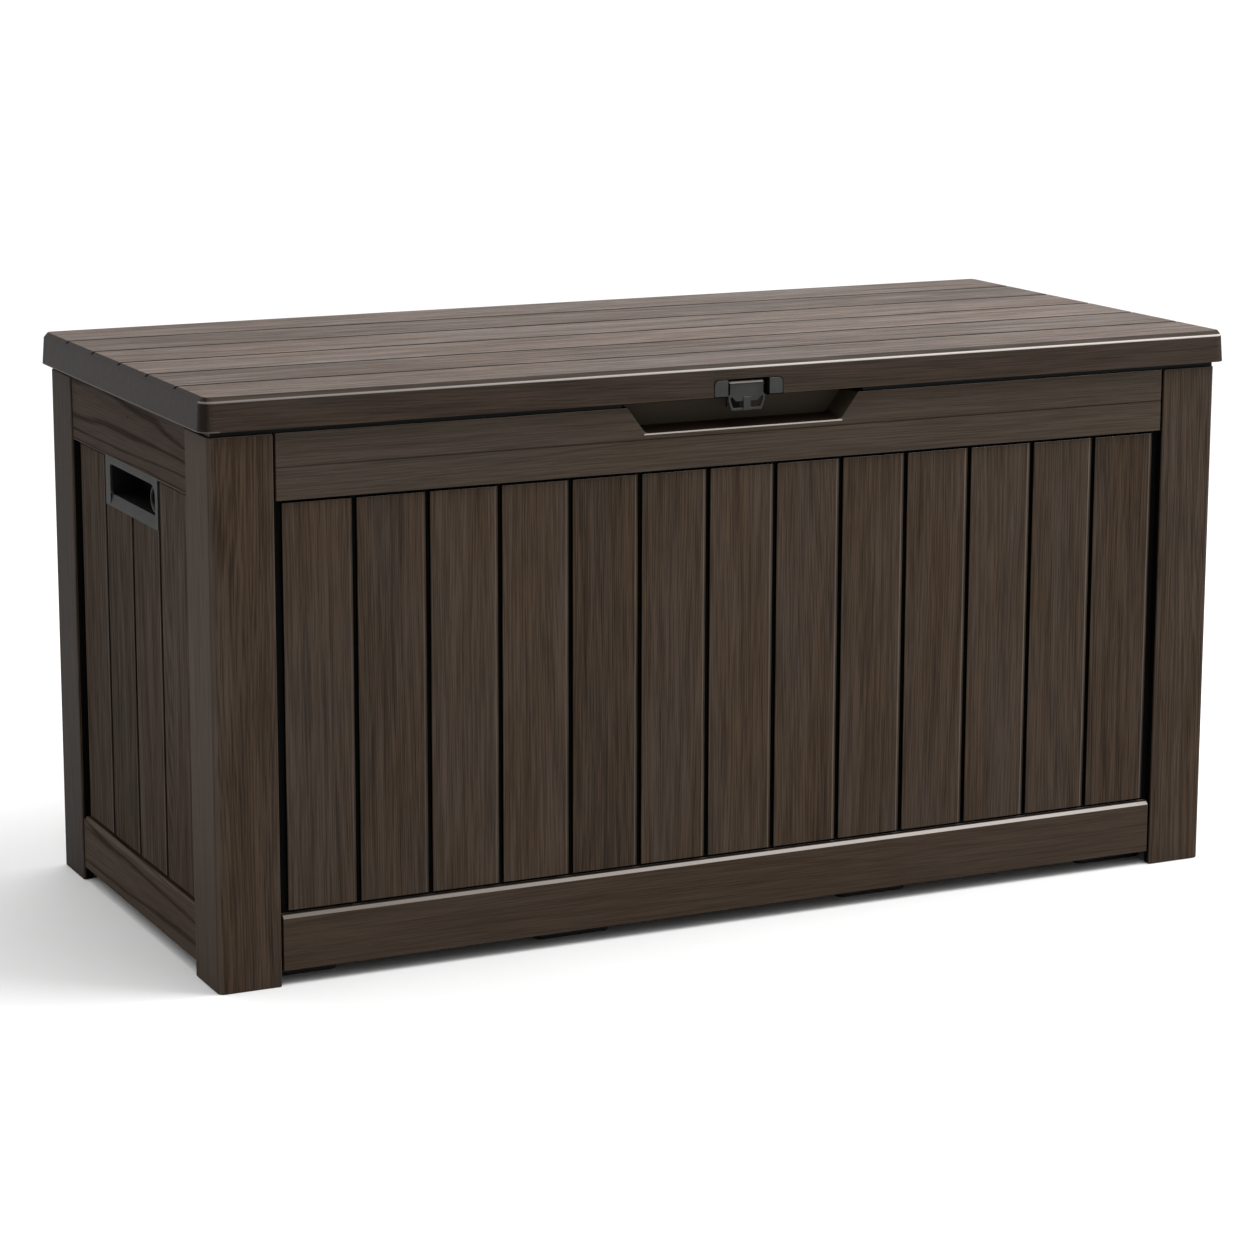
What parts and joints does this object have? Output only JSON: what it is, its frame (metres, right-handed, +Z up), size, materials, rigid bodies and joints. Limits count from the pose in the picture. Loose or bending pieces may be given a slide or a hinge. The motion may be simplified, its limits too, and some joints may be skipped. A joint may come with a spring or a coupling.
{
  "type": "deck storage box",
  "caption": "Rectangular outdoor storage chest with plank-pattern walls, corner posts, side handle cups, and a hinged plank lid with a padlock hasp.",
  "frame": {"origin": "on the ground, under the middle of the box", "axes": "+X along the width, to the right seen from the front; +Y to the back, where the hinges are; +Z up"},
  "size_m": [1.22, 0.552, 0.618],
  "materials": {
    "plank_resin": "wood-grain embossed brown resin",
    "lid_resin": "wood-grain embossed brown resin",
    "grey_plastic": "satin dark grey",
    "base_resin": "matt dark brown",
    "hinge_plastic": "satin dark brown",
    "steel": "plated"
  },
  "bodies": {
    "case": {"base_floor": "base_resin", "front_panel": "plank_resin", "back_panel": "plank_resin", "left_panel": "plank_resin", "right_panel": "plank_resin", "post_front_left": "plank_resin", "post_front_right": "plank_resin", "post_back_left": "plank_resin", "post_back_right": "plank_resin", "foot_front_1": "base_resin", "foot_back_1": "base_resin", "foot_front_2": "base_resin", "foot_back_2": "base_resin", "foot_front_3": "base_resin", "foot_back_3": "base_resin", "foot_front_4": "base_resin", "foot_back_4": "base_resin", "handle_left": "grey_plastic", "handle_right": "grey_plastic", "latch_keeper": "base_resin", "hinge_body_leaf_1": "hinge_plastic", "hinge_pin_1": "steel", "hinge_body_leaf_2": "hinge_plastic", "hinge_pin_2": "steel", "hinge_body_leaf_3": "hinge_plastic", "hinge_pin_3": "steel", "hinge_body_screw_1": "steel", "hinge_body_screw_2": "steel", "hinge_body_screw_3": "steel", "hinge_body_screw_4": "steel", "hinge_body_screw_5": "steel", "hinge_body_screw_6": "steel"},
    "lid": {"lid": "lid_resin", "latch_plate": "grey_plastic", "latch_pin": "steel", "hinge_lid_leaf_1": "hinge_plastic", "hinge_lid_leaf_2": "hinge_plastic", "hinge_lid_leaf_3": "hinge_plastic", "hinge_lid_screw_1": "steel", "hinge_lid_screw_2": "steel", "hinge_lid_screw_3": "steel", "hinge_lid_screw_4": "steel", "hinge_lid_screw_5": "steel", "hinge_lid_screw_6": "steel"},
    "hasp": {"latch_hasp": "grey_plastic"}
  },
  "joints": [
    {"name": "lid_hinge", "type": "hinge", "parent": "case", "child": "lid", "pos_m": [0, 0.2713, 0.5775], "axis": [-1, 0, 0], "range_deg": [0, 95]},
    {"name": "hasp_hinge", "type": "hinge", "parent": "lid", "child": "hasp", "pos_m": [0, -0.2665, 0.594], "axis": [-1, 0, 0], "range_deg": [0, 90]}
  ]
}
